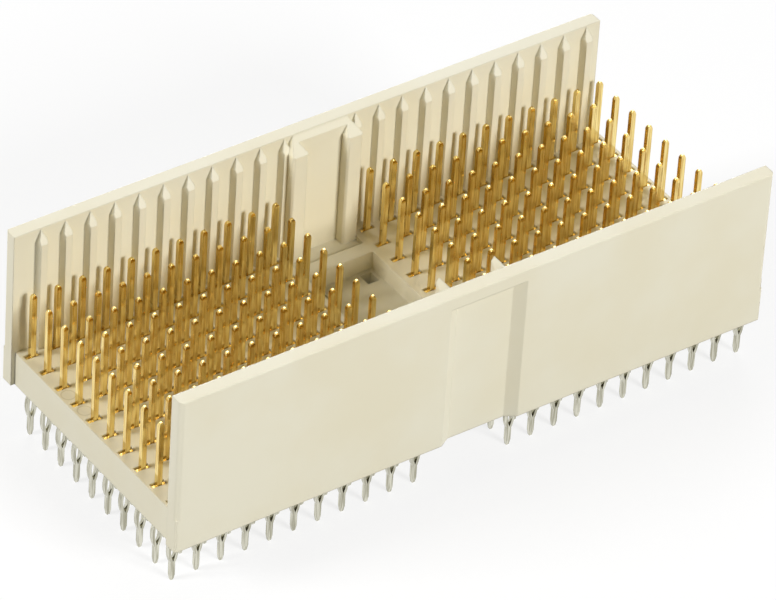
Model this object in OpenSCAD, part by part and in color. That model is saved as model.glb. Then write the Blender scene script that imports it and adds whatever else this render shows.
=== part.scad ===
// Male backplane header for a press-fit printed board.
// A one-piece moulded U-shaped housing, open at both ends, holds two blocks of stamped contacts
// on either side of a keyed centre bay. Millimetres, +Z up, board surface at Z = 0.

/* [Contact field] */
// Pitch between contact columns, along the length
column_pitch = 2; // [1.8:0.05:2.6]
// Pitch between contact rows, across the width
row_pitch = 2; // [1.8:0.05:2.6]
// Contact columns in each of the two blocks
block_columns = 11; // [3:1:14]
// Column places left free between the blocks
free_columns = 3; // [3:1:5]
// Contact rows across the width
row_count = 10; // [8:1:12]

/* [Housing] */
// Reach of the side walls past the first column's centre, over the next header's floor
wall_reach_first = 1.15; // [0.9:0.05:1.6]
// Reach of the side walls past the last column's centre, short of the floor's end
wall_reach_last = 0.2; // [0.1:0.05:0.7]
// Reach of the floor past the outer columns' centres
floor_reach = 0.82; // [0.75:0.01:1.2]
// Distance from the outer row centres to the inner wall faces
row_to_wall = 0.85; // [0.7:0.05:2]
// Thickness of the side walls
wall_thickness = 1.1; // [0.9:0.05:2]
// Height of the side walls above the board
wall_height = 13; // [11:0.1:18]
// Thickness of the floor that holds the contacts
floor_thickness = 2.8; // [2.2:0.1:4]
// Radius of the walls' outer end edges above the floor
wall_end_radius = 0.35; // [0.25:0.05:0.5]
// Radius of the walls' outer end edges beside the floor
foot_end_radius = 0.15; // [0.05:0.05:0.2]
// Radius of the walls' outer top edges
rim_radius = 0.1; // [0.05:0.05:0.5]

/* [Wall ribs] */
// Distance that the small ribs stand in from the wall
rib_depth = 0.55; // [0.2:0.05:0.7]
// Width of a small rib where it meets the wall
rib_root_width = 0.85; // [0.7:0.05:1.1]
// Width of a small rib's front face
rib_front_width = 0.55; // [0.2:0.05:0.65]
// Height of the pencil point at the top of a small rib
rib_point_height = 1; // [0.5:0.1:2]
// Drop of rib points and pad bevels below the wall's rim
rim_drop = 0.1; // [0.05:0.05:0.4]

/* [Keyed centre] */
// Distance between the centre lines of the two guide ribs on a wall
guide_spacing = 4.6; // [4:0.1:5]
// Width of a guide rib where it meets the wall
guide_width = 1.3; // [0.9:0.05:1.5]
// Height of the roof at the top of a guide rib
guide_point_height = 1; // [0.6:0.05:2]
// Distance that the shallow guide ribs stand in from the wall
shallow_guide_depth = 1.25; // [0.9:0.05:1.8]
// Corner chamfer on the shallow guide ribs
shallow_guide_chamfer = 0.15; // [0.05:0.05:0.35]
// Distance that the deep guide ribs stand in from the wall
deep_guide_depth = 1.75; // [1.4:0.05:2.4]
// Front width of the deep guide ribs
deep_guide_front = 0.45; // [0.2:0.05:0.8]
// Drop of the deep guide ribs' level ridge below the other rib points
deep_guide_drop = 0.3; // [0.05:0.05:0.9]
// Distance that the centre pads stand in from the wall
pad_depth = 0.43; // [0.2:0.05:0.7]
// Height of the bevel along the top of a centre pad
pad_bevel = 0.35; // [0.1:0.05:0.8]
// Width of the outer recess panels at the wall face
panel_width = 6.4; // [5:0.1:7.5]
// Depth of the outer recess panels
panel_depth = 0.5; // [0.2:0.05:0.6]
// Width taken up by each slanted side of a recess panel
panel_slant = 0.85; // [0.3:0.05:1.2]
// Height of the plain wall above a recess panel
panel_rim = 1.05; // [0.5:0.05:2]

/* [Centre bay] */
// Floor left between the inner columns and the centre bay
bay_margin = 1.13; // [0.8:0.01:1.3]
// Depth of the centre pocket below the floor's surface
pocket_depth = 1.5; // [0.5:0.1:1.8]
// Depth of the wells at the feet of the guide ribs
well_depth = 0.3; // [0.1:0.05:1]
// Width of a well, from the wall to its bridge
well_width = 2.1; // [1.4:0.05:2.4]
// Thickness of the bridges between the wells and the pocket
bridge_thickness = 1.2; // [0.6:0.05:2]
// Length of the latch holes in the pocket's floor
latch_length = 0.93; // [0.5:0.01:1.5]
// Width of the latch holes in the pocket's floor
latch_width = 1.08; // [0.5:0.01:1.5]
// Distance from the latch holes to the pocket's walls
latch_inset = 0.3; // [0.1:0.05:0.8]

/* [Contacts] */
// Height of the contact tips above the board
contact_height = 8.2; // [6.5:0.1:11]
// Length of the tails below the board
tail_length = 4.2; // [3.6:0.1:6]
// Thickness of the contact strip
strip_thickness = 0.35; // [0.25:0.05:0.5]
// Width of the mating blade
blade_width = 0.4; // [0.3:0.05:0.6]
// Length of the rounded tip
tip_length = 0.35; // [0.2:0.05:0.8]
// Size across the flat end of the rounded tip
tip_size = 0.16; // [0.1:0.02:0.24]
// Width of the shoulder that is held in the floor
shoulder_width = 1.05; // [0.85:0.05:1.2]
// Depth of the shoulder's upper edge below the floor's surface
shoulder_sink = 0.12; // [0.05:0.01:0.4]
// Height of the shoulder's lower edge above the board
shoulder_rise = 0.6; // [0.2:0.05:1.2]
// Height of the barbs that grip the slot's ends
barb_height = 0.4; // [0.2:0.05:0.5]
// Clearance round a contact in its floor slot
slot_clearance = 0.05; // [0.02:0.01:0.1]
// Clearance on each side of a contact at the slot's mouth on the board side
mouth_clearance = 0.18; // [0.14:0.02:0.3]
// Height over which the slot's mouth narrows to the slot
mouth_height = 0.3; // [0.1:0.05:0.5]
// Drop from the board to the top of the press-fit eye
eye_drop = 0.1; // [0.05:0.05:0.4]
// Length of the press-fit eye
eye_length = 2.9; // [2.2:0.05:3.1]
// Width across the press-fit eye
eye_width = 0.8; // [0.6:0.02:0.84]
// Length of the opening in the eye
opening_length = 2; // [1.2:0.05:2.1]
// Width of the opening in the eye
opening_width = 0.4; // [0.2:0.02:0.44]
// Width of the tail below the eye
tail_width = 0.34; // [0.24:0.02:0.4]
// Length of the taper at the end of the tail
tail_taper = 0.45; // [0.3:0.05:0.6]
// Size across the end of the tail
tail_end_size = 0.22; // [0.14:0.02:0.24]

/* [Hidden] */
// Overlap that joins the housing's features into one moulding, and oversize of its cutters
merge = 0.2;
// Facets of a full circle
$fn = 96;

column_places = 2 * block_columns + free_columns;
contact_places = [for (place = [1 : column_places])
    if (place <= block_columns || place > block_columns + free_columns) place];
function column_name(place) = str("contacts_column_", place < 10 ? "0" : "", place);
function column_x(place) = (place - (column_places + 1) / 2) * column_pitch;
function row_y(row) = (row - (row_count + 1) / 2) * row_pitch;

wall_first_x = column_x(1) - wall_reach_first;
wall_last_x = column_x(column_places) + wall_reach_last;
floor_half_length = column_x(column_places) + floor_reach;
inner_half_width = row_y(row_count) + row_to_wall;
outer_half_width = inner_half_width + wall_thickness;
bay_half_length = column_x(block_columns + free_columns + 1) - bay_margin;
pocket_half_width = inner_half_width - well_width - bridge_thickness;
rib_top = wall_height - rim_drop;
rib_foot = floor_thickness - well_depth - merge;
// Small ribs stand midway between neighbouring columns, and beside the inner column of each block
rib_columns = [for (place = [1 : block_columns]) column_x(place) + column_pitch / 2];
shoulder_top = floor_thickness - shoulder_sink;
slot_length = shoulder_width + 2 * slot_clearance;
slot_width = strip_thickness + 2 * slot_clearance;
mouth_width = strip_thickness + 2 * mouth_clearance;
eye_middle = -eye_drop - eye_length / 2;

// Waste outside a rounded corner whose arc is centred on the origin
module corner_waste(radius) {
    difference() {
        square(radius + merge);
        circle(radius);
    }
}

// Stands an outline of depth and height on the +Y side, run along X
module run_along_x(from_x, to_x) {
    translate([from_x, 0, 0])
        rotate([90, 0, 90])
            linear_extrude(to_x - from_x)
                children();
}

// Stands an outline of X and height on its edge, run from the wall towards the middle
module run_along_y(from_y, to_y) {
    translate([0, to_y, 0])
        rotate([90, 0, 0])
            linear_extrude(to_y - from_y)
                children();
}

module wall_section() {
    difference() {
        translate([inner_half_width, 0])
            square([wall_thickness, wall_height]);
        translate([outer_half_width - rim_radius, wall_height - rim_radius])
            corner_waste(rim_radius);
    }
}

// Waste outside a wall's rounded ends, standing on a level
module wall_end_waste(radius, level) {
    translate([0, outer_half_width - radius, level])
        linear_extrude(wall_height) {
            translate([wall_last_x - radius, 0])
                corner_waste(radius);
            translate([wall_first_x + radius, 0])
                mirror([1, 0])
                    corner_waste(radius);
        }
}

// Side wall with a rounded rim, and ends that are rounded more above the floor than beside it
module side_wall() {
    difference() {
        run_along_x(wall_first_x, wall_last_x)
            wall_section();
        wall_end_waste(foot_end_radius, -merge);
        wall_end_waste(wall_end_radius, floor_thickness);
    }
}

// Gabled elevation that gives a rib its pencil point
module gable(width, point_height) {
    polygon([
        [-width / 2, rib_foot],
        [width / 2, rib_foot],
        [width / 2, rib_top - point_height],
        [0, rib_top],
        [-width / 2, rib_top - point_height]
    ]);
}

// Section across a rib, its top falling from the wall to the front
module rib_profile(depth, fall) {
    polygon([
        [inner_half_width - depth, rib_foot],
        [inner_half_width + merge, rib_foot],
        [inner_half_width + merge, rib_top],
        [inner_half_width, rib_top],
        [inner_half_width - depth, rib_top - fall]
    ]);
}

// Rib cut from its plan by its gable, with a level ridge
module gabled_rib(root_width, depth, point_height) {
    intersection() {
        linear_extrude(wall_height)
            children();
        run_along_y(inner_half_width - depth - merge, inner_half_width + merge)
            gable(root_width, point_height);
    }
}

// Gabled rib whose top also falls to the front, as far as its sides fall
module pointed_rib(root_width, depth, point_height) {
    intersection() {
        gabled_rib(root_width, depth, point_height)
            children();
        run_along_x(-root_width, root_width)
            rib_profile(depth, point_height);
    }
}

// Plan of a rib with a flat root and straight flanks
module tapered_plan(root_width, front_width, depth) {
    polygon([
        [-root_width / 2, inner_half_width + merge],
        [-root_width / 2, inner_half_width],
        [-front_width / 2, inner_half_width - depth],
        [front_width / 2, inner_half_width - depth],
        [root_width / 2, inner_half_width],
        [root_width / 2, inner_half_width + merge]
    ]);
}

// Plan of a rib with square flanks and chamfered front corners
module chamfered_plan(width, depth, chamfer) {
    polygon([
        [-width / 2, inner_half_width + merge],
        [-width / 2, inner_half_width - depth + chamfer],
        [-width / 2 + chamfer, inner_half_width - depth],
        [width / 2 - chamfer, inner_half_width - depth],
        [width / 2, inner_half_width - depth + chamfer],
        [width / 2, inner_half_width + merge]
    ]);
}

module small_ribs() {
    for (end = [0, 1])
        mirror([end, 0, 0])
            for (x = rib_columns)
                translate([x, 0, 0])
                    pointed_rib(rib_root_width, rib_depth, rib_point_height)
                        tapered_plan(rib_root_width, rib_front_width, rib_depth);
}

module shallow_guides() {
    for (side = [-1, 1])
        translate([side * guide_spacing / 2, 0, 0])
            pointed_rib(guide_width, shallow_guide_depth, guide_point_height)
                chamfered_plan(guide_width, shallow_guide_depth, shallow_guide_chamfer);
}

module deep_guides() {
    for (side = [-1, 1])
        translate([side * guide_spacing / 2, 0, -deep_guide_drop])
            gabled_rib(guide_width, deep_guide_depth, guide_point_height)
                tapered_plan(guide_width, deep_guide_front, deep_guide_depth);
}

// Raised pad between the guide ribs, bevelled under the rim
module centre_pad() {
    run_along_x(-guide_spacing / 2, guide_spacing / 2)
        polygon([
            [inner_half_width - pad_depth, rib_foot],
            [inner_half_width + merge, rib_foot],
            [inner_half_width + merge, rib_top],
            [inner_half_width, rib_top],
            [inner_half_width - pad_depth, rib_top - pad_bevel]
        ]);
}

// Shallow panel with slanted sides in the outer wall face, open at the bottom
module recess_panel() {
    floor_half = panel_width / 2 - panel_slant;
    overshoot = panel_slant * merge / panel_depth;
    translate([0, 0, -merge])
        linear_extrude(wall_height - panel_rim + merge)
            polygon([
                [-floor_half, outer_half_width - panel_depth],
                [floor_half, outer_half_width - panel_depth],
                [panel_width / 2 + overshoot, outer_half_width + merge],
                [-panel_width / 2 - overshoot, outer_half_width + merge]
            ]);
}

// Cutter of the given height, standing on a level and open upwards
module bay_cutter(half_length, low_y, high_y, level) {
    translate([-half_length, low_y, level])
        cube([2 * half_length, high_y - low_y, wall_height]);
}

module latch_holes() {
    for (side_x = [0, 1], side_y = [0, 1])
        mirror([side_x, 0, 0])
            mirror([0, side_y, 0])
                translate([
                    bay_half_length - latch_inset - latch_length,
                    pocket_half_width - latch_inset - latch_width,
                    -merge
                ])
                    cube([latch_length, latch_width, floor_thickness]);
}

// Floor slab with the pocket and wells of the centre bay
module contact_floor() {
    slab_half_width = inner_half_width + merge;
    well_start = inner_half_width - well_width;
    difference() {
        translate([-floor_half_length, -slab_half_width, 0])
            cube([2 * floor_half_length, 2 * slab_half_width, floor_thickness]);
        bay_cutter(bay_half_length, -pocket_half_width, pocket_half_width, floor_thickness - pocket_depth);
        for (side = [0, 1])
            mirror([0, side, 0])
                bay_cutter(bay_half_length, well_start, inner_half_width, floor_thickness - well_depth);
        latch_holes();
    }
}

// Slot of one contact from its end, with a flared mouth on the board side
module slot_section() {
    translate([-slot_width / 2, -merge])
        square([slot_width, floor_thickness + 2 * merge]);
    polygon([
        [-mouth_width / 2, 0],
        [-mouth_width / 2, -merge],
        [mouth_width / 2, -merge],
        [mouth_width / 2, 0],
        [slot_width / 2, mouth_height],
        [-slot_width / 2, mouth_height]
    ]);
}

// One slot through the floor for each contact
module contact_slots() {
    for (place = contact_places, row = [1 : row_count])
        translate([column_x(place), row_y(row), 0])
            run_along_x(-slot_length / 2, slot_length / 2)
                slot_section();
}

module housing() {
    color("ivory")
        difference() {
            union() {
                contact_floor();
                for (side = [0, 1])
                    mirror([0, side, 0]) {
                        side_wall();
                        centre_pad();
                        small_ribs();
                    }
                shallow_guides();
                mirror([0, 1, 0])
                    deep_guides();
            }
            contact_slots();
            for (side = [0, 1])
                mirror([0, side, 0])
                    recess_panel();
        }
}

// Lens of two equal arcs, standing on its point
module lens(width, length) {
    radius = (width * width + length * length) / (4 * width);
    intersection_for (side = [-1, 1])
        translate([side * (radius - width / 2), 0])
            circle(radius);
}

// Blade outline whose sides curve in to a small flat end
module rounded_blade(width, foot) {
    taper = (width - tip_size) / 2;
    radius = (tip_length * tip_length + taper * taper) / (2 * taper);
    tip_start = contact_height - tip_length;
    translate([-width / 2, foot])
        square([width, tip_start - foot]);
    intersection() {
        translate([-width / 2, tip_start - merge])
            square([width, tip_length + merge]);
        translate([radius - width / 2, tip_start])
            circle(radius);
        translate([width / 2 - radius, tip_start])
            circle(radius);
    }
}

// Face of the stamped contact: blade, barbed shoulder, press-fit eye and tail
module contact_face() {
    difference() {
        union() {
            rounded_blade(blade_width, shoulder_rise);
            polygon([
                [-slot_length / 2, shoulder_rise],
                [slot_length / 2, shoulder_rise],
                [slot_length / 2, shoulder_rise + barb_height],
                [shoulder_width / 2, shoulder_rise + barb_height + slot_clearance],
                [shoulder_width / 2, shoulder_top],
                [-shoulder_width / 2, shoulder_top],
                [-shoulder_width / 2, shoulder_rise + barb_height + slot_clearance],
                [-slot_length / 2, shoulder_rise + barb_height]
            ]);
            polygon([
                [-tail_width / 2, shoulder_rise + merge],
                [-tail_width / 2, -tail_length + tail_taper],
                [-tail_end_size / 2, -tail_length],
                [tail_end_size / 2, -tail_length],
                [tail_width / 2, -tail_length + tail_taper],
                [tail_width / 2, shoulder_rise + merge]
            ]);
            translate([0, eye_middle])
                lens(eye_width, eye_length);
        }
        translate([0, eye_middle])
            lens(opening_width, opening_length);
    }
}

// Edge of the contact strip, thinned towards both ends
module contact_edge() {
    rounded_blade(strip_thickness, -tail_length + tail_taper);
    polygon([
        [-tail_end_size / 2, -tail_length],
        [tail_end_size / 2, -tail_length],
        [strip_thickness / 2, -tail_length + tail_taper],
        [-strip_thickness / 2, -tail_length + tail_taper]
    ]);
}

module contact() {
    intersection() {
        run_along_y(-strip_thickness / 2, strip_thickness / 2)
            contact_face();
        run_along_x(-slot_length, slot_length)
            contact_edge();
    }
}

// The contacts of one column, one in each row
module contact_column(place) {
    color("goldenrod")
        for (row = [1 : row_count])
            translate([column_x(place), row_y(row), 0])
                contact();
}

housing();
for (place = contact_places)
    contact_column(place);
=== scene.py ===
"""Looks of a male backplane header: an ivory moulded shroud over two blocks of gold-tipped press-fit pins."""

from __future__ import annotations

import logging
import math
from dataclasses import dataclass, field
from enum import Enum

import bmesh
import bpy
from mathutils import Color, Matrix, Vector


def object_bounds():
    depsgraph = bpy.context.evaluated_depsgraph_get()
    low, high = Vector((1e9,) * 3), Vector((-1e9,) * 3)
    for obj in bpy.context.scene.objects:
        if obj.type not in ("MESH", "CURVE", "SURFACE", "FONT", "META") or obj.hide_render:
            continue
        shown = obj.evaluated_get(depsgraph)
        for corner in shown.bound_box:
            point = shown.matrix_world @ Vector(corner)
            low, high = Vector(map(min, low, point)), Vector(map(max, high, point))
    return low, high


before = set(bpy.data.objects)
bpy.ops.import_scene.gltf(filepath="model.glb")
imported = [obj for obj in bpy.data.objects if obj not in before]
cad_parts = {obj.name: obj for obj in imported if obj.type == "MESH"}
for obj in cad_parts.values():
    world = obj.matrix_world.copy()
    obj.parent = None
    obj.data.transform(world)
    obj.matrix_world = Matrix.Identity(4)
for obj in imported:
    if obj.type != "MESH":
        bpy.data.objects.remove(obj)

CAD_BOX = [list(corner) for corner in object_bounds()]
LOG = logging.getLogger("header")
MM = 0.001
FULL_LEVEL = 255
NOISE_MIDDLE = 0.5
WHITE = (1.0, 1.0, 1.0, 1.0)
Pair = tuple[float, float]
Triple = tuple[float, float, float]


def linear(red: int, green: int, blue: int) -> Triple:
    """Turn a display colour into the linear values that shaders take.

    Args:
        red: Display red, 0 to 255.
        green: Display green, 0 to 255.
        blue: Display blue, 0 to 255.

    Returns:
        The linear red, green and blue, each 0 to 1.
    """
    shown = Color([level / FULL_LEVEL for level in (red, green, blue)])
    return tuple(shown.from_srgb_to_scene_linear())


def towards(azimuth: float, elevation: float) -> Vector:
    """Point from the part to a place round it.

    Args:
        azimuth: Degrees to the right of the part's front, seen from above.
        elevation: Degrees above the horizon.

    Returns:
        The direction, of length 1.
    """
    turn, rise = math.radians(azimuth), math.radians(elevation)
    return Vector((math.sin(turn) * math.cos(rise), -math.cos(turn) * math.cos(rise), math.sin(rise)))


class Sock:
    """A node's output that takes part in Python arithmetic by adding Math nodes."""

    def __init__(self, shader: Shader, node: bpy.types.Node, output: str | int) -> None:
        """Wrap one output.

        Args:
            shader: The shader that the node belongs to.
            node: The node.
            output: Name or number of its output.
        """
        self.shader = shader
        self.node = node
        self.output = output

    @property
    def socket(self) -> bpy.types.NodeSocket:
        """Give the output socket itself."""
        return self.node.outputs[self.output]

    def _math(self, operation: str, first: Sock | float, second: Sock | float = 0.0) -> Sock:
        """Add a Math node for the operation on two values or links, and give its output."""
        return self.shader.node("ShaderNodeMath", {"operation": operation}, {0: first, 1: second})

    def __add__(self, other: Sock | float) -> Sock:
        """Add."""
        return self._math("ADD", self, other)

    __radd__ = __add__

    def __sub__(self, other: Sock | float) -> Sock:
        """Subtract."""
        return self._math("SUBTRACT", self, other)

    def __rsub__(self, other: Sock | float) -> Sock:
        """Subtract from a number."""
        return self._math("SUBTRACT", other, self)

    def __mul__(self, other: Sock | float) -> Sock:
        """Multiply."""
        return self._math("MULTIPLY", self, other)

    __rmul__ = __mul__

    def __truediv__(self, other: Sock | float) -> Sock:
        """Divide."""
        return self._math("DIVIDE", self, other)

    def __rtruediv__(self, other: Sock | float) -> Sock:
        """Divide a number."""
        return self._math("DIVIDE", other, self)

    def __abs__(self) -> Sock:
        """Take the absolute value."""
        return self._math("ABSOLUTE", self)

    def root(self) -> Sock:
        """Take the square root."""
        return self._math("SQRT", self)

    def at_least(self, other: Sock | float) -> Sock:
        """Take the larger of two values."""
        return self._math("MAXIMUM", self, other)

    def step(self, low: float, high: float) -> Sock:
        """Rise smoothly from 0 at one value to 1 at another.

        Args:
            low: Where the rise starts.
            high: Where the rise ends.

        Returns:
            The smooth step.
        """
        return self.shader.node(
            "ShaderNodeMapRange",
            {"interpolation_type": "SMOOTHSTEP"},
            {"Value": self, "From Min": low, "From Max": high},
        )


class Shader:
    """The node tree of a material or of the world, built from expressions."""

    EDGE_SAMPLES = 4

    def __init__(self, owner: bpy.types.Material | bpy.types.World) -> None:
        """Start with an empty tree.

        Args:
            owner: The material or world that the tree belongs to.
        """
        owner.use_nodes = True
        self.tree = owner.node_tree
        self.tree.nodes.clear()

    def node(
        self,
        kind: str,
        settings: dict[str, object] | None = None,
        inputs: dict[str | int, object] | None = None,
        output: str | int = 0,
    ) -> Sock:
        """Add a node.

        Args:
            kind: The node's type.
            settings: Properties that are set before the sockets.
            inputs: Values or links by socket name or number.
            output: Name or number of the output that is used.

        Returns:
            The chosen output.
        """
        made = self.tree.nodes.new(kind)
        for key, value in (settings or {}).items():
            setattr(made, key, value)
        for key, value in (inputs or {}).items():
            if isinstance(value, Sock):
                self.tree.links.new(value.socket, made.inputs[key])
            else:
                made.inputs[key].default_value = value
        return Sock(self, made, output)

    def place(self) -> Sock:
        """Give the point's place on the part, in metres."""
        return self.node("ShaderNodeTexCoord", output="Object")

    def along(self, axis: str) -> Sock:
        """Give the point's place along an axis of the part, in millimetres."""
        return self.node("ShaderNodeSeparateXYZ", inputs={0: self.place()}, output=axis) / MM

    def noise(self, scale: float, detail: float = 2.0, stretch: Triple = (1.0, 1.0, 1.0)) -> Sock:
        """Add noise fixed to the part, by patterns per metre, octaves and the scale along each axis."""
        spot = self.node("ShaderNodeMapping", inputs={"Vector": self.place(), "Scale": stretch})
        return self.node("ShaderNodeTexNoise", inputs={"Vector": spot, "Scale": scale, "Detail": detail})

    def mix(self, share: Sock | float, first: Sock | Triple, second: Sock | Triple) -> Sock:
        """Mix two colours.

        Args:
            share: How much of the second colour shows.
            first: Colour at 0.
            second: Colour at 1.

        Returns:
            The mixed colour.
        """
        def rgba(colour: Sock | Triple) -> object:
            """Give a plain colour its alpha."""
            return colour if isinstance(colour, Sock) else (*colour, 1.0)

        return self.node(
            "ShaderNodeMix",
            {"data_type": "RGBA", "blend_type": "MIX"},
            {0: share, 6: rgba(first), 7: rgba(second)},
            output=2,
        )

    def relief(self, height: Sock, depth: float, strength: float, edge_mm: float) -> Sock:
        """Add a fine relief to a surface whose edges are softened.

        Args:
            height: The relief's height, about 0 to 1.
            depth: Metres that a height of 1 stands for.
            strength: Share of the relief that shows.
            edge_mm: Radius of the softened edges.

        Returns:
            The surface's normal.
        """
        soft = self.node("ShaderNodeBevel", {"samples": self.EDGE_SAMPLES}, {"Radius": edge_mm * MM})
        inputs = {"Strength": strength, "Distance": depth, "Height": height, "Normal": soft}
        return self.node("ShaderNodeBump", inputs=inputs)


@dataclass(frozen=True)
class EjectorMark:
    """A faint round mark that the mould's ejector leaves on the floor."""

    x_mm: float
    y_mm: float
    radius_mm: float = 0.5
    rim_mm: float = 0.09

    def rim(self, shader: Shader) -> Sock:
        """Draw the mark's rim.

        Args:
            shader: The shader that it is drawn in.

        Returns:
            1 on the rim, falling to 0 beside it.
        """
        aside = shader.along("X") - self.x_mm
        ahead = shader.along("Y") - self.y_mm
        reach = (aside * aside + ahead * ahead).root()
        return 1.0 - abs(reach - self.radius_mm).step(0.0, self.rim_mm)


@dataclass(frozen=True)
class MouldedIvory:
    """Satin ivory thermoplastic with a fine mould grain and slightly softened edges."""

    pale: Triple = linear(228, 223, 201)
    warm: Triple = linear(225, 218, 192)
    # The ejector rims' darker tone is painted shade in their shallow grooves.
    rim_painted_shade: Triple = linear(190, 182, 150)
    rim_shade_share: float = 0.6
    rim_depth: float = 1.4
    cloud_scale: float = 140.0
    cloud_detail: float = 3.0
    cloud_band: Pair = (0.3, 0.7)
    flow_scale: float = 420.0
    flow_stretch: Triple = (0.35, 1.0, 1.0)
    flow_depth: float = 0.6
    grain_scale: float = 7200.0
    grain_metres: float = 0.000006
    grain_strength: float = 0.35
    roughness: float = 0.42
    flow_gloss: float = 0.14
    grain_gloss: float = 0.06
    refraction: float = 1.5
    sheen_level: float = 0.4
    edge_mm: float = 0.14
    floor_mm: float = 2.8
    floor_band: Pair = (0.02, 0.08)
    marks: tuple[EjectorMark, ...] = (EjectorMark(-24.1, 2.1), EjectorMark(-24.15, 4.1))

    def material(self) -> bpy.types.Material:
        """Build the plastic's material.

        Returns:
            The material.
        """
        material = bpy.data.materials.new("moulded_ivory")
        shader = Shader(material)
        cloud = shader.noise(self.cloud_scale, self.cloud_detail)
        flow = shader.noise(self.flow_scale, stretch=self.flow_stretch)
        grain = shader.noise(self.grain_scale)
        rims = self._rims(shader)
        colour = shader.mix(cloud.step(*self.cloud_band), self.pale, self.warm)
        height = grain + flow * self.flow_depth - rims * self.rim_depth
        flow_share = (flow - NOISE_MIDDLE) * self.flow_gloss
        grain_share = (grain - NOISE_MIDDLE) * self.grain_gloss
        surface = shader.node(
            "ShaderNodeBsdfPrincipled",
            inputs={
                # Painted shade darkens the base colour on the ejector rims.
                "Base Color": shader.mix(rims * self.rim_shade_share, colour, self.rim_painted_shade),
                "Roughness": self.roughness + flow_share + grain_share,
                "IOR": self.refraction,
                "Specular IOR Level": self.sheen_level,
                "Normal": shader.relief(height, self.grain_metres, self.grain_strength, self.edge_mm),
            },
        )
        shader.node("ShaderNodeOutputMaterial", inputs={"Surface": surface})
        return material

    def _rims(self, shader: Shader) -> Sock:
        """Draw the ejector marks on the floor's upper face, masking both their shallow grooves and their
        painted shade.

        Args:
            shader: The shader that they are drawn in.

        Returns:
            1 on the marks' rims, 0 elsewhere.
        """
        on_floor = 1.0 - abs(shader.along("Z") - self.floor_mm).step(*self.floor_band)
        rims = self.marks[0].rim(shader)
        for mark in self.marks[1:]:
            rims = rims.at_least(mark.rim(shader))
        return rims * on_floor


@dataclass(frozen=True)
class Plating:
    """A bright plating, a little uneven in tone."""

    light: Triple
    dark: Triple
    roughness: float

    def tone(self, shader: Shader, share: Sock) -> Sock:
        """Give the plating's colour with a share of its darker tone."""
        return shader.mix(share, self.light, self.dark)


@dataclass(frozen=True)
class PlatedContact:
    """Stamped strip with a gold plated blade and a tin plated press-fit tail."""

    gold: Plating = Plating(linear(253, 231, 158), linear(224, 190, 112), 0.12)
    tin: Plating = Plating(linear(220, 218, 202), linear(172, 169, 150), 0.12)
    change_mm: Pair = (0.1, 0.5)
    draw_scale: float = 9000.0
    draw_stretch: Triple = (1.0, 1.0, 0.05)
    draw_metres: float = 0.000008
    draw_strength: float = 0.3
    draw_gloss: float = 0.16
    streak_band: Pair = (0.35, 0.65)
    edge_mm: float = 0.03

    def material(self) -> bpy.types.Material:
        """Build the contacts' material.

        Returns:
            The material.
        """
        material = bpy.data.materials.new("plated_contact")
        shader = Shader(material)
        gilded = shader.along("Z").step(*self.change_mm)
        drawn = shader.noise(self.draw_scale, stretch=self.draw_stretch)
        streaks = drawn.step(*self.streak_band)
        colour = shader.mix(gilded, self.tin.tone(shader, streaks), self.gold.tone(shader, streaks))
        base_gloss = self.tin.roughness + gilded * (self.gold.roughness - self.tin.roughness)
        surface = shader.node(
            "ShaderNodeBsdfPrincipled",
            inputs={
                "Base Color": colour,
                "Metallic": 1.0,
                "Roughness": base_gloss + (drawn - NOISE_MIDDLE) * self.draw_gloss,
                "Normal": shader.relief(drawn, self.draw_metres, self.draw_strength, self.edge_mm),
            },
        )
        shader.node("ShaderNodeOutputMaterial", inputs={"Surface": surface})
        return material


def cover(piece: bpy.types.Object, material: bpy.types.Material) -> None:
    """Put one material on a piece and report it.

    Args:
        piece: The piece.
        material: Its material.
    """
    if not piece.material_slots:
        piece.data.materials.append(material)
    for slot in piece.material_slots:
        slot.material = material
    LOG.info("%s wears %s", piece.name, material.name)


@dataclass
class Housing:
    """The one-piece shroud: floor, ribbed walls and keyed centre."""

    node_name: str = "housing"
    finish: MouldedIvory = field(default_factory=MouldedIvory)

    def dress(self, nodes: dict[str, bpy.types.Object]) -> None:
        """Give the moulding, found among the part's nodes by name, its plastic."""
        cover(nodes[self.node_name], self.finish.material())


@dataclass
class ContactField:
    """The columns of stamped contacts in the floor's two blocks."""

    prefix: str = "contacts_column_"
    finish: PlatedContact = field(default_factory=PlatedContact)

    def dress(self, nodes: dict[str, bpy.types.Object]) -> None:
        """Give every column the plated finish.

        Args:
            nodes: The part's nodes by name.
        """
        plated = self.finish.material()
        for name, column in sorted(nodes.items()):
            if name.startswith(self.prefix):
                cover(column, plated)


class LampRole(Enum):
    """What a studio lamp is for."""

    SIDE = "side"
    FRONT = "front"
    BACK = "back"
    FILL = "fill"


@dataclass(frozen=True)
class Lamp:
    """A rectangular softbox that faces the part."""

    role: LampRole
    azimuth: float
    elevation: float
    level: float
    width: float
    height: float
    distance: float = 0.7

    def hang(self, target: Vector) -> None:
        """Hang the softbox, bright enough to light a facing surface to its level.

        Args:
            target: The point that it faces.
        """
        away = towards(self.azimuth, self.elevation)
        lamp = bpy.data.lights.new(f"{self.role.value}_softbox", "AREA")
        lamp.shape = "RECTANGLE"
        lamp.size = self.width
        lamp.size_y = self.height
        lamp.energy = self.level * (math.pi * self.distance) ** 2
        box = bpy.data.objects.new(lamp.name, lamp)
        box.location = target + away * self.distance
        box.rotation_euler = away.to_track_quat("Z", "Y").to_euler()
        bpy.context.scene.collection.objects.link(box)


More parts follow.
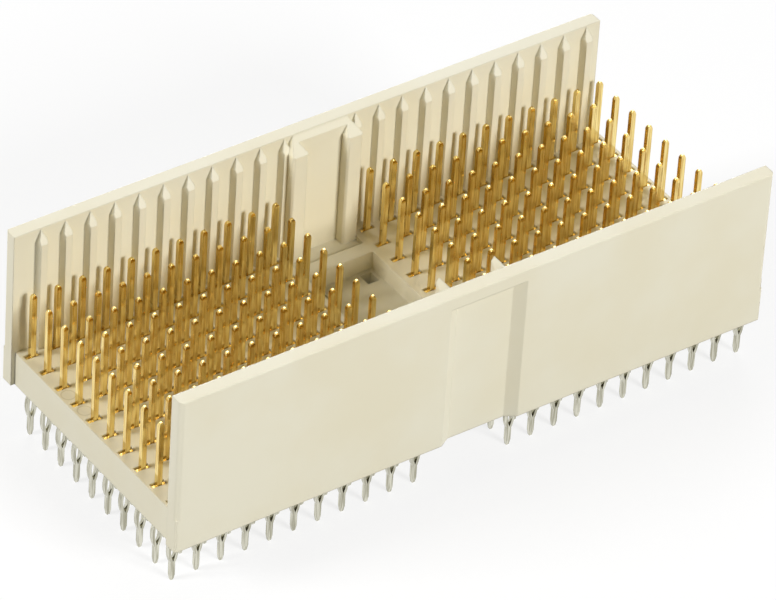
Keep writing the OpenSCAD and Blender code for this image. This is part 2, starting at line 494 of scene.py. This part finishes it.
@dataclass
class Studio:
    """Pale floor, softboxes, white surroundings and the camera."""

    floor_z: float
    floor_radius: float = 1.5
    floor_sides: int = 96
    floor_shade: float = 0.4
    floor_pale: float = 0.97
    floor_white: float = 0.8
    ambient: float = 0.05
    lamps: tuple[Lamp, ...] = (
        Lamp(LampRole.SIDE, azimuth=-105.0, elevation=31.0, level=0.78, width=0.2, height=0.2),
        Lamp(LampRole.FRONT, azimuth=14.0, elevation=29.0, level=0.88, width=0.25, height=0.15),
        Lamp(LampRole.BACK, azimuth=143.0, elevation=45.0, level=0.19, width=0.3, height=0.35),
        Lamp(LampRole.FILL, azimuth=156.0, elevation=8.0, level=0.36, width=0.4, height=0.15),
    )
    target: Vector = field(default_factory=lambda: Vector((-0.000977, -0.000736, 0.005)))
    azimuth: float = -36.893
    elevation: float = 38.478
    roll: float = 3.862
    distance: float = 0.48564
    focal_px: float = 6987.4
    frame_px: int = 776
    sensor_mm: float = 36.0
    nearest: float = 0.01

    def build(self) -> None:
        """Set up everything round the part."""
        self._lay_floor()
        self._light()
        self._surround()
        self._aim_camera()

    def _lay_floor(self) -> None:
        """Lay a round pale floor under the tails."""
        mesh = bpy.data.meshes.new("floor")
        shape = bmesh.new()
        bmesh.ops.create_circle(shape, cap_ends=True, segments=self.floor_sides, radius=self.floor_radius)
        bmesh.ops.translate(shape, verts=shape.verts, vec=(0.0, 0.0, self.floor_z))
        shape.to_mesh(mesh)
        shape.free()
        floor = bpy.data.objects.new("floor", mesh)
        bpy.context.scene.collection.objects.link(floor)
        floor.data.materials.append(self._floor_material())

    def _floor_material(self) -> bpy.types.Material:
        """Build a matt floor that shows as white and keeps the part's shadow.

        Returns:
            The material.
        """
        material = bpy.data.materials.new("pale_floor")
        shader = Shader(material)
        lit, pale = (
            shader.node("ShaderNodeBsdfDiffuse", inputs={"Color": (shade, shade, shade, 1.0)})
            for shade in (self.floor_shade, self.floor_pale)
        )
        glow = shader.node("ShaderNodeEmission", inputs={"Color": WHITE, "Strength": 1.0})
        white = shader.node("ShaderNodeMixShader", inputs={0: self.floor_white, 1: pale, 2: glow})
        mixed = shader.node("ShaderNodeMixShader", inputs={0: self._seen(shader), 1: lit, 2: white})
        shader.node("ShaderNodeOutputMaterial", inputs={"Surface": mixed})
        return material

    @staticmethod
    def _seen(shader: Shader) -> Sock:
        """Tell the rays that show the background from those that light the part.

        Args:
            shader: The shader that asks.

        Returns:
            1 on camera, glossy and transmission rays.
        """
        camera = shader.node("ShaderNodeLightPath", output="Is Camera Ray")
        glossy = shader.node("ShaderNodeLightPath", output="Is Glossy Ray")
        through = shader.node("ShaderNodeLightPath", output="Is Transmission Ray")
        return camera.at_least(glossy).at_least(through)

    def _light(self) -> None:
        """Hang the softboxes."""
        for lamp in self.lamps:
            lamp.hang(self.target)

    def _surround(self) -> None:
        """Make the surroundings white to the eye and a soft grey light on the part."""
        world = bpy.data.worlds.new("surroundings")
        bpy.context.scene.world = world
        shader = Shader(world)
        dim, white = (
            shader.node("ShaderNodeBackground", inputs={"Color": WHITE, "Strength": level})
            for level in (self.ambient, 1.0)
        )
        sky = shader.node("ShaderNodeMixShader", inputs={0: self._seen(shader), 1: dim, 2: white})
        shader.node("ShaderNodeOutputWorld", inputs={"Surface": sky})

    def _aim_camera(self) -> None:
        """Aim the camera as the photograph was taken."""
        back = towards(self.azimuth, self.elevation)
        tilt = math.radians(self.roll)
        right = Vector((0.0, 0.0, 1.0)).cross(back).normalized()
        above = back.cross(right)
        aside = right * math.cos(tilt) + above * math.sin(tilt)
        upward = above * math.cos(tilt) - right * math.sin(tilt)
        lens = bpy.data.cameras.new("camera")
        lens.sensor_fit = "HORIZONTAL"
        lens.sensor_width = self.sensor_mm
        lens.lens = self.focal_px / self.frame_px * self.sensor_mm
        lens.clip_start = self.nearest
        camera = bpy.data.objects.new("camera", lens)
        pose = Matrix((aside, upward, back)).transposed().to_4x4()
        pose.translation = self.target + back * self.distance
        camera.matrix_world = pose
        bpy.context.scene.collection.objects.link(camera)
        bpy.context.scene.camera = camera


def main() -> None:
    """Dress the part and set up the studio."""
    logging.basicConfig(level=logging.INFO, format="%(name)s: %(message)s")
    bpy.context.scene.view_settings.view_transform = "Standard"
    Housing().dress(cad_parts)
    ContactField().dress(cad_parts)
    Studio(floor_z=CAD_BOX[0][2]).build()


if __name__ == "__main__":
    main()
